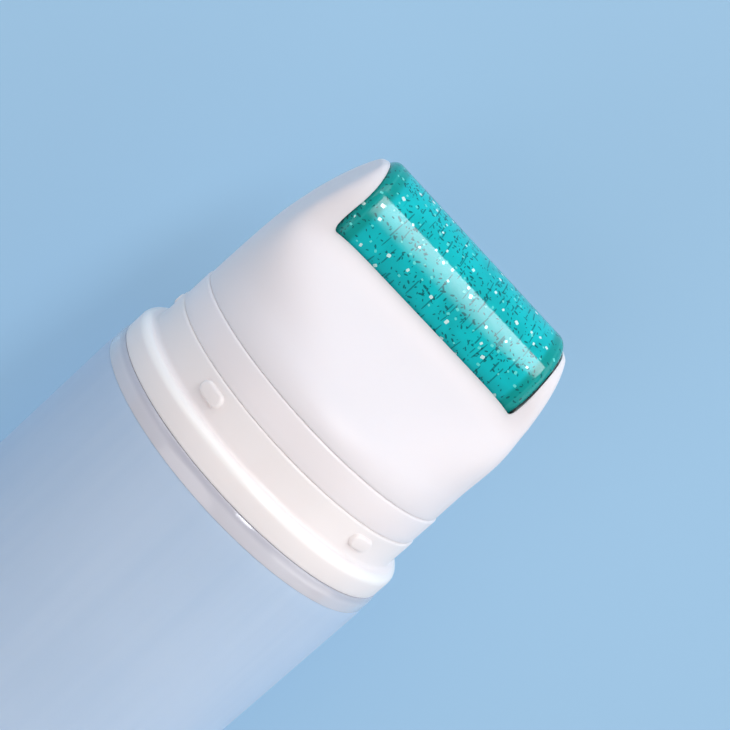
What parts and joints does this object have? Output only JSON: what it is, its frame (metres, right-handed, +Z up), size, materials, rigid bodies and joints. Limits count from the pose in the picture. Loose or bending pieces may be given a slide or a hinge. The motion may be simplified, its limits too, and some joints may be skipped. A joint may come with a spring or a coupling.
{
  "type": "roller applicator tube",
  "caption": "Frosted squeeze tube with a sealed flat tail and a white wedge-shaped twist head that carries a turquoise glitter roller.",
  "frame": {"origin": "bottom centre of the bounding box, on the surface that the tube lies on", "axes": "-Y along the tube's axis towards the roller, +Y towards the crimped tail, +Z up through the head's front face, X along the roller's axis"},
  "size_m": [0.0786, 0.1913, 0.0498],
  "materials": {
    "frosted_sleeve": "frosted translucent polyethylene",
    "shoulder_clear": "glossy, slightly see-through",
    "gasket_rubber": "matt",
    "base_white": "satin warm white",
    "ring_white": "satin white",
    "head_white": "satin cool white",
    "seal_rubber": "matt",
    "disc_rubber": "matt",
    "insert_white": "as moulded",
    "turquoise_resin": "polished, with glitter flakes inside",
    "pin_steel": "ground",
    "bush_plastic": "as moulded"
  },
  "bodies": {
    "tube": {"tube_sleeve": "frosted_sleeve", "tube_shoulder": "shoulder_clear", "neck_gasket": "gasket_rubber", "base_collar": "base_white", "turn_seal": "seal_rubber"},
    "head": {"valve_disc": "disc_rubber", "turn_ring": "ring_white", "head_seal": "seal_rubber", "flow_insert": "insert_white", "roller_head": "head_white", "pivot_bush_left": "bush_plastic", "pivot_bush_right": "bush_plastic"},
    "roller": {"roller": "turquoise_resin", "pivot_pin_left": "pin_steel", "pivot_pin_right": "pin_steel"}
  },
  "joints": [
    {"name": "head_twist", "type": "hinge", "parent": "tube", "child": "head", "pos_m": [0, -0.06763, 0.02492], "axis": [0, -1, 0], "range_deg": [0, 90]},
    {"name": "roller_spin", "type": "hinge", "parent": "head", "child": "roller", "pos_m": [0, -0.08718, 0.02492], "axis": [1, 0, 0], "continuous": true}
  ]
}
